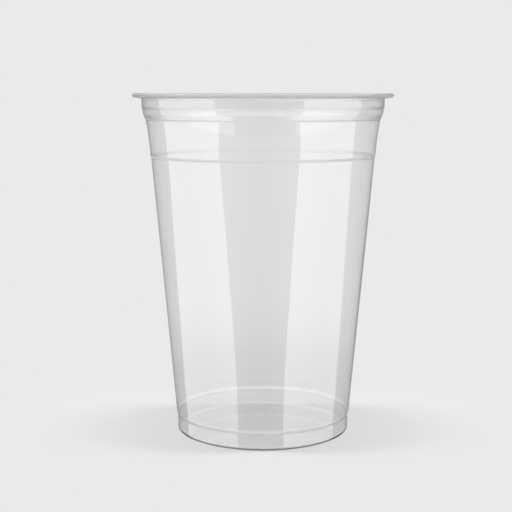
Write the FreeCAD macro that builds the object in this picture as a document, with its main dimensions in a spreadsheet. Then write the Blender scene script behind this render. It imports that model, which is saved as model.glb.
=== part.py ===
import FreeCAD, Part
import enum
import math
import os
import Sketcher

# A clear disposable cup, formed in one piece from thin plastic sheet and turned about +Z.
# It stands on the level ring of its foot at z = 0, with the origin at the middle of the foot.
# The sheet runs from the domed floor round the foot, up the skirt, out over a bead, up the
# long cone to the fill line, and on through the flare, the shoulder and the neck to the lip,
# which is rolled outwards and down and is hollow inside.

SIZES = (
    ("rim_diameter", 95.0, "across the rolled lip, the size that lids are made for"),
    ("cup_height", 125.0, "from the foot to the top of the lip"),
    ("wall_thickness", 0.35, "sheet of the side wall, measured level"),
    ("rim_sheet", 0.5, "sheet of the rolled lip"),
    ("floor_thickness", 0.5, "sheet of the floor, measured upright"),
    ("roll_height", 1.6, "height of the rolled lip at its outer edge"),
    ("roll_droop", 0.3, "how far the free edge hangs below the lip's outer edge"),
    ("lip_overhang", 3.2, "from the neck out to the edge of the lip"),
    ("bend_radius", 0.5, "inside of the bend where the neck turns out into the lip"),
    ("curl_gap", 0.3, "from the neck out to the free edge of the roll"),
    ("neck_depth", 5.25, "from the top of the lip down to the foot of the neck"),
    ("neck_taper", 0.15, "how much the neck closes in towards its foot"),
    ("neck_step", 0.25, "step in at the foot of the neck"),
    ("neck_step_height", 0.5, "height of that step"),
    ("shoulder_height", 1.65, "steep upper part of the shoulder"),
    ("shoulder_taper", 0.18, "how much the upper part closes in"),
    ("shoulder_drop", 2.3, "height of the lower part, which slopes in"),
    ("shoulder_inset", 0.97, "how far the lower part slopes in"),
    ("shoulder_radius", 3.0, "rounding between the two parts"),
    ("flare_height", 12.7, "from the fill line up to the shoulder"),
    ("flare_inset", 1.58, "how much narrower the flare is at its foot"),
    ("flare_radius", 113.0, "bow of the flare, hollow side out"),
    ("fill_step", 0.23, "how far the fill line steps out"),
    ("fill_step_height", 0.5, "height of the fill line"),
    ("base_diameter", 63.9, "across the skirt"),
    ("ledge_height", 6.0, "from the foot up to the ledge under the bead"),
    ("bead_overhang", 0.42, "how far the bead stands out from the skirt"),
    ("bead_height", 1.0, "height of the slope under the bead"),
    ("bead_radius", 0.6, "rounding of the bead and of the ledge"),
    ("foot_corner_radius", 1.1, "outside rounding from the foot to the skirt"),
    ("foot_width", 1.25, "level ring that the cup stands on"),
    ("floor_rise", 1.5, "how high the floor is domed"),
)


class Point(enum.IntEnum):
    """A point of a side, as a sketch numbers it."""

    START = 1
    END = 2
    CENTRE = 3


class Axis(enum.IntEnum):
    """An axis of the sketch, as a sketch numbers it."""

    LEVEL = -1
    UPRIGHT = -2


ORIGIN = (Axis.LEVEL, Point.START)

# Corners that the side wall has on both faces of its sheet, from the bottom up.
WALL_CORNERS = (
    "ledge",
    "bead",
    "fill_foot",
    "fill_top",
    "shoulder_foot",
    "shoulder",
    "shoulder_top",
    "neck_foot",
)

FLOOR_UNDERSIDE = ("dome", "foot_inner", "foot")
ROLL = (
    "neck_top",
    "ceiling_end",
    "tip_low_inside",
    "curl_end_inside",
    "curl_end",
    "tip_low",
    "top_end",
    "lip",
)
SMOOTH_CORNERS = ("ceiling_end", "tip_low_inside", "tip_low", "top_end")
FLOOR_TOP = ("foot_inside", "foot_inner_inside", "dome_inside")


def inside(name):
    """Name of the corner on the inner face that belongs to one on the outer face."""
    return f"{name}_inside"


# Once round the section: up the outside, round the roll, down the inside, down the axis.
WALL_INSIDE = tuple(inside(name) for name in reversed(WALL_CORNERS))
OUTLINE = FLOOR_UNDERSIDE + WALL_CORNERS + ROLL + WALL_INSIDE + FLOOR_TOP


def make_sheet(doc):
    """Write each size, its name and its meaning on a row of its own."""
    sheet = doc.addObject("Spreadsheet::Sheet", "sizes")
    for row, (alias, value, meaning) in enumerate(SIZES, start=1):
        sheet.set(f"A{row}", alias)
        sheet.set(f"B{row}", str(value))
        sheet.setAlias(f"B{row}", alias)
        sheet.set(f"C{row}", meaning)
    doc.recompute()
    return sheet


def place_wall(size):
    """Corners of the floor, the foot and the side wall, as radius and height."""
    step = FreeCAD.Vector
    skirt = size.base_diameter / 2
    neck = size.rim_diameter / 2 - size.lip_overhang
    spot = {}
    spot["dome"] = step(0, size.floor_rise)
    spot["foot"] = step(skirt, 0)
    spot["foot_inner"] = spot["foot"] - step(size.foot_corner_radius + size.foot_width, 0)
    spot["ledge"] = step(skirt, size.ledge_height)
    spot["bead"] = spot["ledge"] + step(size.bead_overhang, size.bead_height)
    spot["neck_top"] = step(neck, size.cup_height - size.rim_sheet)
    spot["neck_foot"] = step(neck - size.neck_taper, size.cup_height - size.neck_depth)
    spot["shoulder_top"] = spot["neck_foot"] - step(size.neck_step, size.neck_step_height)
    spot["shoulder"] = spot["shoulder_top"] - step(size.shoulder_taper, size.shoulder_height)
    spot["shoulder_foot"] = spot["shoulder"] - step(size.shoulder_inset, size.shoulder_drop)
    spot["fill_top"] = spot["shoulder_foot"] - step(size.flare_inset, size.flare_height)
    spot["fill_foot"] = spot["fill_top"] - step(size.fill_step, size.fill_step_height)
    for name in WALL_CORNERS:
        spot[inside(name)] = spot[name] - step(size.wall_thickness, 0)
    spot["foot_inside"] = step(skirt - size.wall_thickness, size.floor_thickness)
    spot["foot_inner_inside"] = spot["foot_inner"] + step(0, size.floor_thickness)
    spot["dome_inside"] = spot["dome"] + step(0, size.floor_thickness)
    return spot


def place_roll(size):
    """Corners of the rolled lip, and the centre of its round edge."""
    step = FreeCAD.Vector
    neck = size.rim_diameter / 2 - size.lip_overhang
    tip_radius = size.roll_height / 2
    centre = step(size.rim_diameter / 2 - tip_radius, size.cup_height - tip_radius)
    spot = {"tip_centre": centre}
    spot["lip"] = step(neck - size.rim_sheet, size.cup_height)
    spot["top_end"] = centre + step(0, tip_radius)
    spot["ceiling_end"] = spot["top_end"] - step(0, size.rim_sheet)
    drop = size.roll_height + size.roll_droop
    spot["curl_end"] = step(neck + size.curl_gap, size.cup_height - drop)
    reach = spot["curl_end"] - centre
    slant = math.atan2(reach.y, reach.x) + math.acos(tip_radius / reach.Length)
    outward = step(math.cos(slant), math.sin(slant))
    spot["tip_low"] = centre + outward * tip_radius
    spot["tip_low_inside"] = spot["tip_low"] - outward * size.rim_sheet
    spot["curl_end_inside"] = spot["curl_end"] - outward * size.rim_sheet
    return spot


def bow_centre(lower, upper, radius):
    """Centre of an arc between two corners, on the side that faces away from the axis."""
    chord = upper - lower
    away = FreeCAD.Vector(chord.y, -chord.x).normalize()
    return (lower + upper) / 2 + away * math.sqrt(radius**2 - (chord.Length / 2) ** 2)


def dome_centre(middle, edge):
    """Centre, on the axis, of the arc that the floor is domed to."""
    rise = middle.y - edge.y
    radius = (edge.x**2 + rise**2) / (2 * rise)
    return FreeCAD.Vector(0, middle.y - radius)


def arc_centres(size, spot):
    """Centre of each curved side, by the corners that it runs from and to, anticlockwise."""
    return {
        ("foot_inner", "dome"): dome_centre(spot["dome"], spot["foot_inner"]),
        ("foot_inner_inside", "dome_inside"): dome_centre(spot["dome_inside"], spot["foot_inner_inside"]),
        ("shoulder_foot", "fill_top"): bow_centre(
            spot["fill_top"], spot["shoulder_foot"], size.flare_radius
        ),
        ("shoulder_foot_inside", "fill_top_inside"): bow_centre(
            spot["fill_top_inside"], spot["shoulder_foot_inside"], size.flare_radius
        ),
        ("tip_low", "top_end"): spot["tip_centre"],
        ("tip_low_inside", "ceiling_end"): spot["tip_centre"],
    }


def make_arc(centre, first, last):
    """Arc that runs anticlockwise from the first corner to the last."""
    circle = Part.Circle(centre, FreeCAD.Vector(0, 0, 1), (first - centre).Length)
    start_angle = math.atan2(first.y - centre.y, first.x - centre.x)
    end_angle = math.atan2(last.y - centre.y, last.x - centre.x)
    return Part.ArcOfCircle(circle, start_angle, end_angle)


class Section:
    """Closed half section of the cup in a sketch, with its corners and sides by name."""

    def __init__(self, sketch, spot, centres):
        self.sketch = sketch
        self.sides = {}
        self.corners = {}
        following = OUTLINE[1:] + OUTLINE[:1]
        arriving = {}
        for name, next_name in zip(OUTLINE, following):
            self.draw_side(name, next_name, spot, centres, arriving)
        for name in OUTLINE:
            relation = "Tangent" if name in SMOOTH_CORNERS else "Coincident"
            self.constrain(relation, *arriving[name], *self.corners[name])

    def draw_side(self, name, next_name, spot, centres, arriving):
        """Straight side, or arc where the two corners have a centre."""
        near, far = Point.START, Point.END
        if (name, next_name) in centres:
            curve = make_arc(centres[name, next_name], spot[name], spot[next_name])
        elif (next_name, name) in centres:
            curve = make_arc(centres[next_name, name], spot[next_name], spot[name])
            near, far = Point.END, Point.START
        else:
            curve = Part.LineSegment(spot[name], spot[next_name])
        side = self.sketch.addGeometry(curve, False)
        self.sides[name] = side
        self.corners[name] = (side, near)
        arriving[next_name] = (side, far)

    def constrain(self, *items):
        return self.sketch.addConstraint(Sketcher.Constraint(*items))

    def bind(self, constraint, formula):
        self.sketch.setExpression(f"Constraints[{constraint}]", formula)

    def round_corner(self, name, radius, formula):
        """Round a corner between two straight sides; its sharp point stays, for dimensions."""
        fillet = self.sketch.GeometryCount
        sharp_point = fillet + 1
        self.sketch.fillet(*self.corners[name], radius, True, True)
        self.corners[name] = (sharp_point, Point.START)
        self.set_radius(fillet, formula)

    def set_radius(self, side, formula):
        radius = self.sketch.Geometry[side].Radius
        self.bind(self.constrain("Radius", side, radius), formula)

    def across(self, inner, outer, formula):
        """Level distance from one point out to another."""
        gap = self.sketch.getPoint(*outer).x - self.sketch.getPoint(*inner).x
        self.bind(self.constrain("DistanceX", *inner, *outer, gap), formula)

    def above(self, lower, upper, formula):
        """Upright distance from one point up to another."""
        gap = self.sketch.getPoint(*upper).y - self.sketch.getPoint(*lower).y
        self.bind(self.constrain("DistanceY", *lower, *upper, gap), formula)


def round_corners(section, size):
    """Round every corner that is rounded on the real sheet, on both of its faces."""
    section.round_corner("foot", size.foot_corner_radius, "sizes.foot_corner_radius")
    section.round_corner(
        "foot_inside",
        size.foot_corner_radius - size.wall_thickness,
        "sizes.foot_corner_radius - sizes.wall_thickness",
    )
    for name in ("ledge", "bead"):
        section.round_corner(name, size.bead_radius, "sizes.bead_radius")
        section.round_corner(inside(name), size.bead_radius, "sizes.bead_radius")
    section.round_corner("shoulder", size.shoulder_radius, "sizes.shoulder_radius")
    section.round_corner("shoulder_inside", size.shoulder_radius, "sizes.shoulder_radius")
    section.round_corner("neck_top", size.bend_radius, "sizes.bend_radius")
    section.round_corner(
        "lip", size.bend_radius + size.rim_sheet, "sizes.bend_radius + sizes.rim_sheet"
    )


def size_floor(section):
    """Foot ring on the ground and the floor domed above it."""
    corner, side = section.corners, section.sides
    section.constrain("PointOnObject", *corner["foot_inner"], Axis.LEVEL)
    section.constrain("Horizontal", side["foot_inner"])
    section.across(ORIGIN, corner["foot"], "sizes.base_diameter / 2")
    section.across(corner["foot_inner"], corner["foot"], "sizes.foot_corner_radius + sizes.foot_width")
    for name, arc in (("dome", side["dome"]), ("dome_inside", side["foot_inner_inside"])):
        section.constrain("PointOnObject", *corner[name], Axis.UPRIGHT)
        section.constrain("PointOnObject", arc, Point.CENTRE, Axis.UPRIGHT)
    section.above(ORIGIN, corner["dome"], "sizes.floor_rise")
    section.above(corner["dome"], corner["dome_inside"], "sizes.floor_thickness")
    section.constrain("Horizontal", side["foot_inside"])
    section.constrain("Vertical", *corner["foot_inner"], *corner["foot_inner_inside"])
    section.above(corner["foot_inner"], corner["foot_inner_inside"], "sizes.floor_thickness")


def size_wall(section):
    """Outer face of the wall, sized up from the foot and down from the lip."""
    corner, side = section.corners, section.sides
    section.constrain("Vertical", side["foot"])
    section.above(ORIGIN, corner["ledge"], "sizes.ledge_height")
    section.across(corner["ledge"], corner["bead"], "sizes.bead_overhang")
    section.above(corner["ledge"], corner["bead"], "sizes.bead_height")
    section.across(corner["neck_foot"], corner["neck_top"], "sizes.neck_taper")
    section.above(corner["neck_foot"], corner["lip"], "sizes.neck_depth")
    section.across(corner["shoulder_top"], corner["neck_foot"], "sizes.neck_step")
    section.above(corner["shoulder_top"], corner["neck_foot"], "sizes.neck_step_height")
    section.across(corner["shoulder"], corner["shoulder_top"], "sizes.shoulder_taper")
    section.above(corner["shoulder"], corner["shoulder_top"], "sizes.shoulder_height")
    section.across(corner["shoulder_foot"], corner["shoulder"], "sizes.shoulder_inset")
    section.above(corner["shoulder_foot"], corner["shoulder"], "sizes.shoulder_drop")
    section.across(corner["fill_top"], corner["shoulder_foot"], "sizes.flare_inset")
    section.above(corner["fill_top"], corner["shoulder_foot"], "sizes.flare_height")
    section.across(corner["fill_foot"], corner["fill_top"], "sizes.fill_step")
    section.above(corner["fill_foot"], corner["fill_top"], "sizes.fill_step_height")
    section.set_radius(side["fill_top"], "sizes.flare_radius")


def size_wall_inside(section):
    """Inner face of the wall, one sheet inside the outer face at every corner."""
    corner, side = section.corners, section.sides
    section.constrain("Vertical", side["ledge_inside"])
    for name in WALL_CORNERS:
        section.constrain("Horizontal", *corner[inside(name)], *corner[name])
        section.across(corner[inside(name)], corner[name], "sizes.wall_thickness")
    section.set_radius(side["shoulder_foot_inside"], "sizes.flare_radius")


def size_roll(section):
    """Rolled lip: level on top, round at its edge, its free edge just clear of the neck."""
    corner, side = section.corners, section.sides
    section.constrain("Horizontal", side["neck_top"])
    section.constrain("Horizontal", side["top_end"])
    section.above(ORIGIN, corner["lip"], "sizes.cup_height")
    section.across(ORIGIN, corner["neck_top"], "sizes.rim_diameter / 2 - sizes.lip_overhang")
    section.across(corner["lip"], corner["neck_top"], "sizes.rim_sheet")
    tip, tip_inside = side["tip_low"], side["ceiling_end"]
    section.constrain("Coincident", tip, Point.CENTRE, tip_inside, Point.CENTRE)
    section.set_radius(tip, "sizes.roll_height / 2")
    section.set_radius(tip_inside, "sizes.roll_height / 2 - sizes.rim_sheet")
    section.across(ORIGIN, (tip, Point.CENTRE), "(sizes.rim_diameter - sizes.roll_height) / 2")
    section.across(corner["neck_top"], corner["curl_end"], "sizes.curl_gap")
    section.above(corner["curl_end"], corner["lip"], "sizes.roll_height + sizes.roll_droop")
    section.constrain("Parallel", side["tip_low_inside"], side["curl_end"])
    section.constrain("Perpendicular", side["curl_end_inside"], side["curl_end"])


def make_cup(doc, size):
    """The whole cup: its half section turned once round the axis."""
    body = doc.addObject("PartDesign::Body", "cup")
    body.Label = "cup"
    planes = {plane.Role: plane for plane in body.Origin.OriginFeatures}
    sketch = body.newObject("Sketcher::SketchObject", "section")
    sketch.AttachmentSupport = [(planes["XZ_Plane"], "")]
    sketch.MapMode = "FlatFace"
    spot = place_wall(size) | place_roll(size)
    section = Section(sketch, spot, arc_centres(size, spot))
    round_corners(section, size)
    size_floor(section)
    size_wall(section)
    size_wall_inside(section)
    size_roll(section)
    doc.recompute()
    turned = body.newObject("PartDesign::Revolution", "turned")
    turned.Profile = sketch
    turned.ReferenceAxis = (sketch, ["V_Axis"])
    turned.Angle = 360
    body.Tip = turned
    doc.recompute()
    return body


def check_model(doc, body):
    """Stop before anything is written if a feature failed or the cup isn't one sound solid."""
    for item in doc.Objects:
        if {"Invalid", "Error"} & set(item.State):
            raise RuntimeError(f"{item.Name} failed: {item.State}")
    section = doc.getObject("section")
    if not section.FullyConstrained:
        raise RuntimeError("the section has a size that nothing sets")
    shape = body.Shape
    if shape.isNull() or not shape.isValid() or len(shape.Solids) != 1:
        raise RuntimeError(f"{body.Label} is not one valid solid")


def main():
    doc = FreeCAD.newDocument("disposable_cup")
    size = make_sheet(doc)
    body = make_cup(doc, size)
    check_model(doc, body)
    os.makedirs("parts", exist_ok=True)
    body.Shape.exportStep(f"parts/{body.Label}.step")
    box = body.Shape.optimalBoundingBox()
    print(f"{body.Label}: {box.XLength:.2f} x {box.YLength:.2f} x {box.ZLength:.2f} mm")
    print(f"{body.Label}: {body.Shape.Volume:.1f} cubic mm of plastic")


main()
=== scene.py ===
import math

import bmesh
import bpy
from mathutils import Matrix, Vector


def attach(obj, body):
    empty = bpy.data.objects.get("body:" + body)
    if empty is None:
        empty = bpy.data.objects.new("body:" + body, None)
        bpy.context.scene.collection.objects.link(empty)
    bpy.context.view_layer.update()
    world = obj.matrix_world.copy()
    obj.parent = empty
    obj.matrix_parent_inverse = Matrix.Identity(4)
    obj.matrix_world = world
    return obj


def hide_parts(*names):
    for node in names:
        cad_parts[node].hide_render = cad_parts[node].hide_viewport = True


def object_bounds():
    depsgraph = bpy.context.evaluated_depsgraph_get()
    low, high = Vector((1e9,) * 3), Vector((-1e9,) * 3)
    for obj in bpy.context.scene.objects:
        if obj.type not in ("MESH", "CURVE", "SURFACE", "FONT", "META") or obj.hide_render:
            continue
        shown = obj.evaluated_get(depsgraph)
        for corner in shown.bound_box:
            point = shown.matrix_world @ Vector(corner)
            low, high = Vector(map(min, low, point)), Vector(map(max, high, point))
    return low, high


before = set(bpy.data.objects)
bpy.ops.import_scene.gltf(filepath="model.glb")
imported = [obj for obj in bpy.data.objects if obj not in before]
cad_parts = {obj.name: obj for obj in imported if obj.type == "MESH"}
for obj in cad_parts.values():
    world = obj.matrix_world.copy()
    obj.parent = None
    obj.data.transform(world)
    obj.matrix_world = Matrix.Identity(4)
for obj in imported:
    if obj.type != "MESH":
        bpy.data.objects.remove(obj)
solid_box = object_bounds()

MM = 0.001

# The sheet of plastic, in millimetres. Overall sizes come from the frame.
RIM_RADIUS = solid_box[1][0] / MM
CUP_HEIGHT = solid_box[1][2] / MM
WALL = 0.35
RIM_SHEET = 0.5
FLOOR_SHEET = 0.5

# The rolled lip and the neck under it.
ROLL_HEIGHT = 1.6
ROLL_DROOP = 0.3
LIP_OVERHANG = 3.2
BEND_RADIUS = 0.5
CURL_GAP = 0.3
NECK_DEPTH = 5.25
NECK_TAPER = 0.15
NECK_STEP = (0.25, 0.5)

# The shoulder, the flare and the fill line, each as how far in and how far down it goes.
SHOULDER_STEEP = (0.18, 1.65)
SHOULDER_SLOPE = (0.97, 2.3)
SHOULDER_RADIUS = 3.0
FLARE = (1.58, 12.7)
FLARE_RADIUS = 113.0
FILL_STEP = (0.23, 0.5)

# The foot and the bead above it.
SKIRT_RADIUS = 31.95
LEDGE_HEIGHT = 6.0
BEAD = (0.42, 1.0)
BEAD_RADIUS = 0.6
FOOT_CORNER = 1.1
FOOT_WIDTH = 1.25
FLOOR_RISE = 1.5

# Small roundings that the solid leaves sharp: creases of the sheet and its trimmed edge.
CREASE_RADIUS = 0.25
TRIM_RADIUS = 0.15

# How finely the sheet is drawn: round the axis, along a bow, and per turn of a corner.
STEPS_AROUND = 224
BOW_STEPS = 24
CORNER_STEP = math.radians(7)
FEWEST_CORNER_STEPS = 2

# A side longer than this gets a point near each end, so that its smooth shading stays flat.
LONG_SIDE = 0.8
EDGE_SUPPORT = 0.2

# Points closer than this are one point: the two ends of the turn, and the ends on the axis.
WELD_DISTANCE = 0.001

# How clear the plastic is by height in millimetres, where 1 is colourless; these greys are painted
# light and shade in its colour. It is darker on the foot, with painted shade under the bead, in
# the creases, along the fill line and on top of the lip. It clears slowly up the wall, and is
# clearest on the bead, which makes a painted highlight there.
PAINTED_LIGHT_AND_SHADE = (
    (0, 0.9),
    (5.6, 0.9),
    (5.9, 0.82),
    (6.2, 0.82),
    (6.45, 1),
    (7.25, 1),
    (7.5, 0.88),
    (20, 0.885),
    (30, 0.92),
    (45, 0.955),
    (101.75, 0.965),
    (101.95, 0.925),
    (102.75, 0.925),
    (102.95, 0.965),
    (115.3, 0.965),
    (115.55, 0.9),
    (115.95, 0.9),
    (116.2, 0.93),
    (119.5, 0.935),
    (119.95, 0.88),
    (120.25, 0.925),
    (122.8, 0.925),
    (123.2, 0.98),
    (123.9, 0.98),
    (124.4, 0.72),
)

# Added roughness by height: matt along the fill line and at the shoulder's foot, slight on the
# shoulder, a little more at the neck's foot, and dull on the lip, which has been rolled.
DULL_SPOTS = (
    (101.75, 0),
    (101.9, 0.75),
    (102.8, 0.75),
    (102.95, 0),
    (115.3, 0),
    (115.4, 0.6),
    (115.9, 0.6),
    (116.1, 0.15),
    (117.2, 0.15),
    (117.7, 0),
    (119.5, 0),
    (119.65, 0.3),
    (120.05, 0.3),
    (120.2, 0),
    (122.9, 0),
    (123.3, 0.45),
)

# The faint waves that drawing the sheet down leaves, and how the shine varies with them.
WAVES_PER_METRE = 140
WAVE_DETAIL = 1
DRAW_STRETCH = 0.15
WAVE_DEPTH = 0.006
POLISH = (0.01, 0.03)

# How strongly the plastic bends light.
PLASTIC_IOR = 1.49

# Share of a lamp's light that each face lets by, and the heights between which the foot thins.
SHEET_PASSES = 0.985
FOOT_PASSES = 0.82
THICK_FOOT = (8, 24)

# Light that a grey of 234 out of 255 stands for, the tone of the studio's paper.
PAPER = 0.8228

# A light path counts how often it was mirrored or went through a face. The counts are whole, so
# a limit lies half way between two of them: mirrored at all, and through two faces at most.
MIRRORED = 0.5
THROUGH_TWO_FACES = 2.5


def step(across, up):
    """A place or a move in the half section."""
    return Vector((across, up))


def bow(start, end, radius, steps):
    """Points of an arc between two corners, both left out; the arc's hollow is on its right."""
    chord = end - start
    right = step(chord.y, -chord.x).normalized()
    centre = (start + end) / 2 + right * math.sqrt(radius**2 - (chord.length / 2) ** 2)
    first = math.atan2(start.y - centre.y, start.x - centre.x)
    last = math.atan2(end.y - centre.y, end.x - centre.x)
    sweep = (last - first + math.pi) % math.tau - math.pi
    angles = [first + sweep * count / steps for count in range(1, steps)]
    return [centre + step(math.cos(angle), math.sin(angle)) * radius for angle in angles]


def wall_corners(inset):
    """A face of the wall from the ledge up to the neck's foot, moved in from the outer face."""
    neck_foot = step(RIM_RADIUS - LIP_OVERHANG - NECK_TAPER - inset, CUP_HEIGHT - NECK_DEPTH)
    shoulder_top = neck_foot - step(*NECK_STEP)
    shoulder = shoulder_top - step(*SHOULDER_STEEP)
    shoulder_foot = shoulder - step(*SHOULDER_SLOPE)
    fill_top = shoulder_foot - step(*FLARE)
    fill_foot = fill_top - step(*FILL_STEP)
    ledge = step(SKIRT_RADIUS - inset, LEDGE_HEIGHT)
    flare = bow(fill_top, shoulder_foot, FLARE_RADIUS, BOW_STEPS)
    return [
        (ledge, BEAD_RADIUS),
        (ledge + step(*BEAD), BEAD_RADIUS),
        (fill_foot, CREASE_RADIUS),
        (fill_top, CREASE_RADIUS),
        *((point, 0) for point in flare),
        (shoulder_foot, CREASE_RADIUS),
        (shoulder, SHOULDER_RADIUS),
        (shoulder_top, CREASE_RADIUS),
        (neck_foot, CREASE_RADIUS),
    ]


def lip_corners():
    """The roll: under its ceiling, round inside its edge, round its trimmed end and back over."""
    neck = RIM_RADIUS - LIP_OVERHANG
    tip = ROLL_HEIGHT / 2
    centre = step(RIM_RADIUS - tip, CUP_HEIGHT - tip)
    curl_end = step(neck + CURL_GAP, CUP_HEIGHT - ROLL_HEIGHT - ROLL_DROOP)
    reach = curl_end - centre
    low = math.atan2(reach.y, reach.x) + math.acos(tip / reach.length)
    turns = [low + (math.pi / 2 - low) * count / BOW_STEPS for count in range(BOW_STEPS + 1)]
    outward = [step(math.cos(turn), math.sin(turn)) for turn in turns]
    inner_tip = [(centre + way * (tip - RIM_SHEET), 0) for way in reversed(outward)]
    outer_tip = [(centre + way * tip, 0) for way in outward]
    return [
        (step(neck, CUP_HEIGHT - RIM_SHEET), BEND_RADIUS),
        *inner_tip,
        (curl_end - outward[0] * RIM_SHEET, TRIM_RADIUS),
        (curl_end, TRIM_RADIUS),
        *outer_tip,
        (step(neck - RIM_SHEET, CUP_HEIGHT), BEND_RADIUS + RIM_SHEET),
    ]


def dome(height):
    """The floor, domed from the axis out to the foot ring, whose edge is left out."""
    edge = SKIRT_RADIUS - FOOT_CORNER - FOOT_WIDTH
    radius = (edge**2 + FLOOR_RISE**2) / (2 * FLOOR_RISE)
    spots = [edge * count / BOW_STEPS for count in range(BOW_STEPS)]
    drop = [radius - math.sqrt(radius**2 - spot**2) for spot in spots]
    return [(step(spot, height + FLOOR_RISE - fall), 0) for spot, fall in zip(spots, drop)]


def sheet_outline():
    """Every corner of the sheet's half section with its rounding, from the axis and back to it."""
    foot_inner = SKIRT_RADIUS - FOOT_CORNER - FOOT_WIDTH
    return [
        *dome(0),
        (step(foot_inner, 0), CREASE_RADIUS),
        (step(SKIRT_RADIUS, 0), FOOT_CORNER),
        *wall_corners(0),
        *lip_corners(),
        *reversed(wall_corners(WALL)),
        (step(SKIRT_RADIUS - WALL, FLOOR_SHEET), FOOT_CORNER - WALL),
        (step(foot_inner, FLOOR_SHEET), CREASE_RADIUS),
        *reversed(dome(FLOOR_SHEET)),
    ]


def rounded(before, corner, after, radius):
    """Points of the arc that rounds a corner off."""
    back = (before - corner).normalized()
    ahead = (after - corner).normalized()
    half = back.angle(ahead) / 2
    turn = math.pi - 2 * half
    middle = (back + ahead).normalized()
    centre = corner + middle * (radius / math.sin(half))
    count = max(FEWEST_CORNER_STEPS, math.ceil(turn / CORNER_STEP))
    side = step(middle.y, -middle.x)
    if side.dot(back) < 0:
        side = -side
    angles = [turn * (share / count - 0.5) for share in range(count + 1)]
    return [
        centre - middle * radius * math.cos(angle) - side * radius * math.sin(angle)
        for angle in angles
    ]


def rounded_outline(corners):
    """The outline as points, with its corners rounded off."""
    points = []
    for index, (corner, radius) in enumerate(corners):
        if radius == 0:
            points.append(corner)
            continue
        before = corners[index - 1][0]
        after = corners[index + 1][0]
        points += rounded(before, corner, after, radius)
    return points


def supported_outline(points):
    """The outline with a point more near each end of a long side."""
    supported = []
    for start, end in zip(points, points[1:]):
        supported.append(start)
        side = end - start
        if side.length > LONG_SIDE:
            reach = side.normalized() * EDGE_SUPPORT
            supported += [start + reach, end - reach]
    supported.append(points[-1])
    return supported


def add_node(tree, kind, **settings):
    """New node of a tree, with its settings given by name."""
    node = tree.nodes.new(kind)
    for name, value in settings.items():
        setattr(node, name, value)
    return node


def math_node(tree, operation, *values):
    """Math node with each input given as a number or a socket to read."""
    node = add_node(tree, "ShaderNodeMath", operation=operation)
    for socket, value in zip(node.inputs, values):
        if isinstance(value, (int, float)):
            socket.default_value = value
        else:
            tree.links.new(value, socket)
    return node.outputs[0]


def split(tree, place):
    """X, Y and Z of a place or a direction."""
    parts = add_node(tree, "ShaderNodeSeparateXYZ")
    tree.links.new(place, parts.inputs[0])
    return parts.outputs


def turning_tree():
    """Geometry Nodes tree that turns the points of a half section once round the upright axis."""
    tree = bpy.data.node_groups.new("turn_section", "GeometryNodeTree")
    face = tree.interface
    face.new_socket("Section", in_out="INPUT", socket_type="NodeSocketGeometry")
    face.new_socket("Steps Around", in_out="INPUT", socket_type="NodeSocketInt")
    face.new_socket("Weld Distance", in_out="INPUT", socket_type="NodeSocketFloat")
    face.new_socket("Plastic", in_out="INPUT", socket_type="NodeSocketMaterial")
    face.new_socket("Cup", in_out="OUTPUT", socket_type="NodeSocketGeometry")
    link = tree.links.new
    given = add_node(tree, "NodeGroupInput").outputs
    count = add_node(tree, "GeometryNodeAttributeDomainSize", component="MESH")
    link(given["Section"], count.inputs["Geometry"])
    rows = count.outputs["Point Count"]
    columns = math_node(tree, "ADD", given["Steps Around"], 1)
    grid = add_node(tree, "GeometryNodeMeshGrid")
    grid.inputs["Size X"].default_value = 1
    grid.inputs["Size Y"].default_value = 1
    link(rows, grid.inputs["Vertices X"])
    link(columns, grid.inputs["Vertices Y"])
    place = split(tree, add_node(tree, "GeometryNodeInputPosition").outputs[0])
    along = math_node(tree, "ADD", place["X"], 0.5)
    last_row = math_node(tree, "SUBTRACT", rows, 1)
    row = math_node(tree, "ROUND", math_node(tree, "MULTIPLY", along, last_row))
    angle = math_node(tree, "MULTIPLY", place["Y"], math.tau)
    sample = add_node(tree, "GeometryNodeSampleIndex", data_type="FLOAT_VECTOR", domain="POINT")
    link(given["Section"], sample.inputs["Geometry"])
    link(add_node(tree, "GeometryNodeInputPosition").outputs[0], sample.inputs["Value"])
    link(row, sample.inputs["Index"])
    turn = add_node(tree, "ShaderNodeVectorRotate", rotation_type="Z_AXIS")
    link(sample.outputs["Value"], turn.inputs["Vector"])
    link(angle, turn.inputs["Angle"])
    wrap = add_node(tree, "GeometryNodeSetPosition")
    link(grid.outputs["Mesh"], wrap.inputs["Geometry"])
    link(turn.outputs[0], wrap.inputs["Position"])
    weld = add_node(tree, "GeometryNodeMergeByDistance")
    link(wrap.outputs[0], weld.inputs["Geometry"])
    link(given["Weld Distance"], weld.inputs["Distance"])
    smooth = add_node(tree, "GeometryNodeSetShadeSmooth")
    link(weld.outputs[0], smooth.inputs["Geometry"])
    whole = add_node(tree, "GeometryNodeRealizeInstances")
    link(smooth.outputs[0], whole.inputs["Geometry"])
    paint = add_node(tree, "GeometryNodeSetMaterial")
    link(whole.outputs[0], paint.inputs["Geometry"])
    link(given["Plastic"], paint.inputs["Material"])
    link(paint.outputs[0], add_node(tree, "NodeGroupOutput").inputs["Cup"])
    return tree


def set_inputs(modifier, **values):
    """Give a Geometry Nodes modifier its inputs by name."""
    for item in modifier.node_group.interface.items_tree:
        key = item.name.replace(" ", "_").lower()
        if item.in_out == "INPUT" and key in values:
            modifier[item.identifier] = values[key]


def face_outwards(mesh):
    """Turn every face of a closed mesh to its outside."""
    shell = bmesh.new()
    shell.from_mesh(mesh)
    bmesh.ops.recalc_face_normals(shell, faces=shell.faces)
    shell.to_mesh(mesh)
    shell.free()


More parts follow.
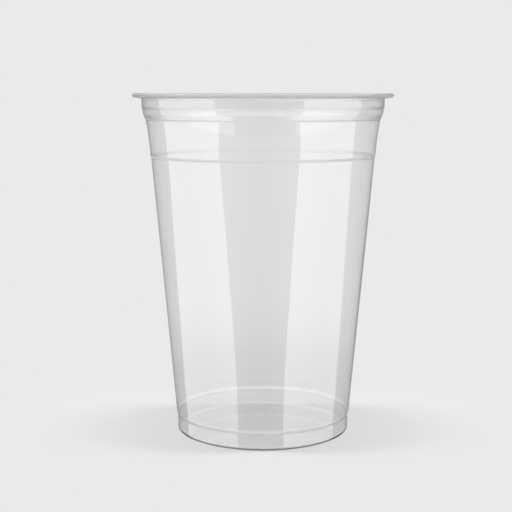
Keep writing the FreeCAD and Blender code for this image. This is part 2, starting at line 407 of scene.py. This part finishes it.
def turn_cup(plastic):
    """The whole cup as one mesh, turned from its half section."""
    outline = supported_outline(rounded_outline(sheet_outline()))
    section = bpy.data.meshes.new("cup_section")
    section.from_pydata([(point.x * MM, 0, point.y * MM) for point in outline], [], [])
    pattern = bpy.data.objects.new("cup_section", section)
    bpy.context.collection.objects.link(pattern)
    modifier = pattern.modifiers.new("turn", "NODES")
    modifier.node_group = turning_tree()
    set_inputs(
        modifier,
        steps_around=STEPS_AROUND,
        weld_distance=WELD_DISTANCE * MM,
        plastic=plastic,
    )
    bpy.context.view_layer.update()
    evaluated = pattern.evaluated_get(bpy.context.evaluated_depsgraph_get())
    mesh = bpy.data.meshes.new_from_object(evaluated)
    bpy.data.objects.remove(pattern)
    face_outwards(mesh)
    mesh.name = "clear_cup"
    cup = bpy.data.objects.new("clear_cup", mesh)
    bpy.context.collection.objects.link(cup)
    return cup


def blank_material(name):
    """Material whose node tree is still empty."""
    material = bpy.data.materials.new(name)
    material.use_nodes = True
    material.node_tree.nodes.clear()
    return material


def show(tree, shader):
    """Make a shader the surface of its material."""
    tree.links.new(shader, add_node(tree, "ShaderNodeOutputMaterial").inputs["Surface"])


def mix_shaders(tree, share, first, second):
    """The first shader where the share is 0, the second where it is 1."""
    mix = add_node(tree, "ShaderNodeMixShader")
    for socket, source in zip(mix.inputs, (share, first, second)):
        tree.links.new(source, socket)
    return mix.outputs[0]


def grey(level):
    """Plain grey as a colour."""
    return (level, level, level, 1)


def grey_ramp(tree, share, stops):
    """Colour ramp read by a share from 0 to 1, with each stop a share and a grey."""
    ramp = add_node(tree, "ShaderNodeValToRGB")
    tree.links.new(share, ramp.inputs[0])
    marks = ramp.color_ramp.elements
    while len(marks) < len(stops):
        marks.new(0.5)
    for mark, (position, level) in zip(marks, stops):
        mark.position = position
        mark.color = grey(level)
    return ramp.outputs["Color"]


def fade(tree, value, span, levels, interpolation="SMOOTHSTEP"):
    """From one level to the other while the value crosses a span, and constant beyond it."""
    ramp = add_node(tree, "ShaderNodeMapRange", interpolation_type=interpolation)
    tree.links.new(value, ramp.inputs["Value"])
    ramp.inputs["From Min"].default_value = span[0]
    ramp.inputs["From Max"].default_value = span[1]
    ramp.inputs["To Min"].default_value = levels[0]
    ramp.inputs["To Max"].default_value = levels[1]
    return ramp.outputs[0]


def by_height(tree, height, stops):
    """Grey over the cup's height, with each stop a height in millimetres and a grey."""
    share = math_node(tree, "DIVIDE", height, CUP_HEIGHT * MM)
    return grey_ramp(tree, share, [(level / CUP_HEIGHT, tone) for level, tone in stops])


def object_place(tree):
    """Place on the object that wears the material."""
    return add_node(tree, "ShaderNodeTexCoord").outputs["Object"]


def clear_plastic():
    """Thin clear plastic: glass to the eye, and lamps shine through it with a faint loss."""
    material = blank_material("clear_plastic")
    tree = material.node_tree
    link = tree.links.new
    where = object_place(tree)
    place = split(tree, where)
    drawn_down = add_node(tree, "ShaderNodeMapping")
    drawn_down.inputs["Scale"].default_value = (1, 1, DRAW_STRETCH)
    link(where, drawn_down.inputs["Vector"])
    waves = add_node(tree, "ShaderNodeTexNoise")
    waves.inputs["Scale"].default_value = WAVES_PER_METRE
    waves.inputs["Detail"].default_value = WAVE_DETAIL
    link(drawn_down.outputs[0], waves.inputs["Vector"])
    relief = add_node(tree, "ShaderNodeBump")
    relief.inputs["Distance"].default_value = WAVE_DEPTH * MM
    link(waves.outputs["Fac"], relief.inputs["Height"])
    polish = fade(tree, waves.outputs["Fac"], (0, 1), POLISH, "LINEAR")
    plastic = add_node(tree, "ShaderNodeBsdfPrincipled")
    plastic.inputs["IOR"].default_value = PLASTIC_IOR
    plastic.inputs["Transmission Weight"].default_value = 1
    # Base colour by height: painted shade in the creases, under the bead and on the lip, and a
    # painted highlight on the bead.
    link(by_height(tree, place["Z"], PAINTED_LIGHT_AND_SHADE), plastic.inputs["Base Color"])
    dull = by_height(tree, place["Z"], DULL_SPOTS)
    link(math_node(tree, "ADD", polish, dull), plastic.inputs["Roughness"])
    link(relief.outputs[0], plastic.inputs["Normal"])
    passing = add_node(tree, "ShaderNodeBsdfTransparent")
    link(lamp_light_passed(tree, place), passing.inputs["Color"])
    path = add_node(tree, "ShaderNodeLightPath").outputs
    lit_through = math_node(tree, "MAXIMUM", path["Is Shadow Ray"], path["Is Diffuse Ray"])
    show(tree, mix_shaders(tree, lit_through, plastic.outputs[0], passing.outputs[0]))
    return material


def lamp_light_passed(tree, place):
    """Lamp light that a face lets by: most through wall and floor, less through the thick foot."""
    foot = [level * MM for level in THICK_FOOT]
    wall = fade(tree, place["Z"], foot, (FOOT_PASSES, SHEET_PASSES))
    x_squared = math_node(tree, "POWER", place["X"], 2)
    y_squared = math_node(tree, "POWER", place["Y"], 2)
    radius = math_node(tree, "SQRT", math_node(tree, "ADD", x_squared, y_squared))
    floor_edge = (SKIRT_RADIUS - FOOT_CORNER) * MM
    on_floor = math_node(tree, "LESS_THAN", radius, floor_edge)
    floor = math_node(tree, "MULTIPLY", on_floor, SHEET_PASSES)
    return math_node(tree, "MAXIMUM", wall, floor)


# Studio, in metres: the paper floor, and how strongly the surroundings light it.
FLOOR_RADIUS = 0.6
FLOOR_SIDES = 128
SKY_LIGHT = 0.2

# The paper shows the cup's shadow in a zone whose edge fades between these distances. The zone is
# shallower from front to back than across, and lies a little behind the cup.
SHADOW_ZONE = (0.07, 0.12)
SHADOW_SHAPE = (1, 1.9, 1)
SHADOW_SHIFT = (0, -0.019, 0)

# Two soft lamps, one on each side, this far out, back and up.
LAMP_OUT = 1.2
LAMP_BACK = 0.12
LAMP_UP = 0.6
LAMP_SIZE = (0.35, 0.6)
LAMP_POWER = 17.3

# The camera, fitted to the cup's outline in the photograph: lens and sensor in millimetres, and
# its turn in degrees, down and to the left.
CAMERA_PLACE = (0, -0.4308, 0.12496)
CAMERA_LENS = 82.22
CAMERA_SENSOR = 36
CAMERA_DOWN = 7.921
CAMERA_LEFT = 0.338


def mirrored_rays(tree):
    """1 on a path that a surface has mirrored, else 0."""
    path = add_node(tree, "ShaderNodeLightPath").outputs
    return math_node(tree, "GREATER_THAN", path["Glossy Depth"], MIRRORED)


def paper_floor():
    """Pale floor that takes the cup's shadow and fades to the plain backdrop tone."""
    bpy.ops.mesh.primitive_circle_add(
        vertices=FLOOR_SIDES,
        radius=FLOOR_RADIUS,
        fill_type="NGON",
    )
    floor = bpy.context.object
    floor.name = "paper_floor"
    material = blank_material("paper")
    tree = material.node_tree
    link = tree.links.new
    stretched = add_node(tree, "ShaderNodeMapping")
    link(object_place(tree), stretched.inputs["Vector"])
    stretched.inputs["Scale"].default_value = SHADOW_SHAPE
    stretched.inputs["Location"].default_value = SHADOW_SHIFT
    distance = add_node(tree, "ShaderNodeVectorMath", operation="LENGTH")
    link(stretched.outputs[0], distance.inputs[0])
    beyond_shadow = fade(tree, distance.outputs["Value"], SHADOW_ZONE, (0, 1))
    lit = add_node(tree, "ShaderNodeBsdfDiffuse")
    lit.inputs["Color"].default_value = grey(PAPER)
    plain = add_node(tree, "ShaderNodeEmission")
    plain.inputs["Color"].default_value = grey(PAPER)
    paper = mix_shaders(tree, beyond_shadow, lit.outputs[0], plain.outputs[0])
    nothing = add_node(tree, "ShaderNodeBsdfTransparent").outputs[0]
    show(tree, mix_shaders(tree, mirrored_rays(tree), paper, nothing))
    floor.data.materials.append(material)


# What the near side of the plastic mirrors is painted on a drum round the cup. Each stop is an
# angle in degrees from the camera's side, negative to the left, and a brightness.
DRUM_RADIUS = 0.2
DRUM_SIDES = 180
DRUM_BOTTOM = -0.15
DRUM_TOP = 0.25
ROOM = (
    (-180, 0.5),
    (-150, 0.45),
    (-110, 0.3),
    (-38, 0.5),
    (-2, 0.1),
    (34, 0.5),
    (100, 0.3),
    (150, 0.45),
    (180, 0.5),
)
# Two tall windows on it: the angle of each one's middle, and half its width at the lower and at
# the upper of these heights. The width doesn't change beyond them.
WINDOWS = ((-71, 40.5, 31.5), (63.3, 38, 30))
WINDOW_HEIGHTS = (-0.045, 0.065)
# The windows fade in between the heights of the sill, and across this angle at their sides.
WINDOW_SILL = (-0.13, -0.07)
WINDOW_EDGE = 0.4
# A window is brightest at its edge nearest to the camera and falls off across these angles.
WINDOW_ACROSS = (35, 105)
WINDOW_LEVELS = (2.3, 1.4)
# The dim parts darken towards the floor between these heights, down to this share.
DARK_BELOW = (-0.11, -0.03)
DARK_SHARE = 0.5
# What is mirrored above and below the drum changes between these elevations in degrees.
END_SLOPES = (26, 34)
CEILING_LEVEL = 2.7
TABLE_LEVEL = 0.5


def room_by_angle(tree, angle):
    """Brightness of the drum's dim parts by angle."""
    share = math_node(tree, "ADD", math_node(tree, "DIVIDE", angle, 360), 0.5)
    return grey_ramp(tree, share, [(stop / 360 + 0.5, level) for stop, level in ROOM])


def window(tree, angle, height, middle, foot_half, top_half):
    """1 inside a window and 0 outside it."""
    half_width = fade(tree, height, WINDOW_HEIGHTS, (foot_half, top_half), "LINEAR")
    off = math_node(tree, "ABSOLUTE", math_node(tree, "SUBTRACT", angle, middle))
    reach = math_node(tree, "SUBTRACT", half_width, off)
    return fade(tree, reach, (-WINDOW_EDGE, WINDOW_EDGE), (0, 1), "LINEAR")


def near_mirror(tree):
    """1 on a path that the near side of the plastic has mirrored, else 0."""
    path = add_node(tree, "ShaderNodeLightPath").outputs
    near = math_node(tree, "LESS_THAN", path["Transmission Depth"], THROUGH_TWO_FACES)
    return math_node(tree, "MULTIPLY", mirrored_rays(tree), near)


def reflector_drum():
    """Dim drum with two tall windows of light, seen only where the cup's near side mirrors it."""
    bpy.ops.mesh.primitive_cylinder_add(
        vertices=DRUM_SIDES,
        radius=DRUM_RADIUS,
        depth=DRUM_TOP - DRUM_BOTTOM,
        end_fill_type="NOTHING",
        location=(0, 0, (DRUM_TOP + DRUM_BOTTOM) / 2),
    )
    bpy.ops.object.transform_apply(location=True)
    drum = bpy.context.object
    drum.name = "reflector_drum"
    drum.visible_camera = False
    drum.visible_diffuse = False
    drum.visible_shadow = False
    material = blank_material("reflector")
    tree = material.node_tree
    link = tree.links.new
    place = split(tree, object_place(tree))
    towards_camera = math_node(tree, "MULTIPLY", place["Y"], -1)
    angle = math_node(tree, "DEGREES", math_node(tree, "ARCTAN2", place["X"], towards_camera))
    left, right = (window(tree, angle, place["Z"], *size) for size in WINDOWS)
    windows = math_node(tree, "MAXIMUM", left, right)
    above_sill = fade(tree, place["Z"], WINDOW_SILL, (0, 1))
    above_floor = fade(tree, place["Z"], DARK_BELOW, (DARK_SHARE, 1))
    from_middle = math_node(tree, "ABSOLUTE", angle)
    glow = add_node(tree, "ShaderNodeMix", data_type="RGBA")
    link(math_node(tree, "MULTIPLY", windows, above_sill), glow.inputs["Factor"])
    link(math_node(tree, "MULTIPLY", room_by_angle(tree, angle), above_floor), glow.inputs["A"])
    link(fade(tree, from_middle, WINDOW_ACROSS, WINDOW_LEVELS, "LINEAR"), glow.inputs["B"])
    light = add_node(tree, "ShaderNodeEmission")
    link(glow.outputs["Result"], light.inputs["Color"])
    nothing = add_node(tree, "ShaderNodeBsdfTransparent").outputs[0]
    show(tree, mix_shaders(tree, near_mirror(tree), nothing, light.outputs[0]))
    material.cycles.emission_sampling = "NONE"
    drum.data.materials.append(material)


def studio_world():
    """Plain backdrop for the eye, with a ceiling and a table for what mirrors it."""
    world = bpy.data.worlds.new("studio")
    bpy.context.scene.world = world
    world.use_nodes = True
    tree = world.node_tree
    tree.nodes.clear()
    link = tree.links.new
    way = add_node(tree, "ShaderNodeTexCoord").outputs["Generated"]
    slope = split(tree, way)["Z"]
    near, far = (math.sin(math.radians(elevation)) for elevation in END_SLOPES)
    upwards = fade(tree, slope, (near, far), (PAPER, CEILING_LEVEL))
    downwards = fade(tree, slope, (-far, -near), (TABLE_LEVEL - PAPER, 0))
    room = add_node(tree, "ShaderNodeBackground")
    room.inputs["Color"].default_value = grey(1)
    link(math_node(tree, "ADD", upwards, downwards), room.inputs["Strength"])
    backdrop = add_node(tree, "ShaderNodeBackground")
    backdrop.inputs["Color"].default_value = grey(PAPER)
    sky = add_node(tree, "ShaderNodeBackground")
    sky.inputs["Color"].default_value = grey(1)
    sky.inputs["Strength"].default_value = SKY_LIGHT
    path = add_node(tree, "ShaderNodeLightPath").outputs
    seen_or_mirrored = math_node(tree, "MAXIMUM", path["Is Camera Ray"], path["Is Glossy Ray"])
    to_eye = math_node(tree, "MAXIMUM", seen_or_mirrored, path["Is Transmission Ray"])
    seen = mix_shaders(tree, mirrored_rays(tree), backdrop.outputs[0], room.outputs[0])
    surroundings = mix_shaders(tree, to_eye, sky.outputs[0], seen)
    link(surroundings, add_node(tree, "ShaderNodeOutputWorld").inputs["Surface"])


def soft_lamp(name, across):
    """Large soft lamp beside the cup that faces its foot."""
    lamp = bpy.data.lights.new(name, "AREA")
    lamp.shape = "RECTANGLE"
    lamp.size, lamp.size_y = LAMP_SIZE
    lamp.energy = LAMP_POWER
    stand = bpy.data.objects.new(name, lamp)
    stand.location = (across, LAMP_BACK, LAMP_UP)
    towards_foot = -stand.location
    stand.rotation_euler = towards_foot.to_track_quat("-Z", "Y").to_euler()
    stand.visible_camera = False
    stand.visible_glossy = False
    stand.visible_transmission = False
    bpy.context.collection.objects.link(stand)


def photo_camera():
    """Camera at the photograph's angle."""
    data = bpy.data.cameras.new("photo_camera")
    data.sensor_width = CAMERA_SENSOR
    data.lens = CAMERA_LENS
    camera = bpy.data.objects.new("photo_camera", data)
    camera.location = CAMERA_PLACE
    level = math.pi / 2
    camera.rotation_euler = (level - math.radians(CAMERA_DOWN), 0, math.radians(CAMERA_LEFT))
    bpy.context.collection.objects.link(camera)
    bpy.context.scene.camera = camera


cup = turn_cup(clear_plastic())
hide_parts("cup")
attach(cup, "root")

paper_floor()
reflector_drum()
studio_world()
soft_lamp("left_lamp", -LAMP_OUT)
soft_lamp("right_lamp", LAMP_OUT)
photo_camera()

bpy.context.scene.view_settings.view_transform = "Standard"
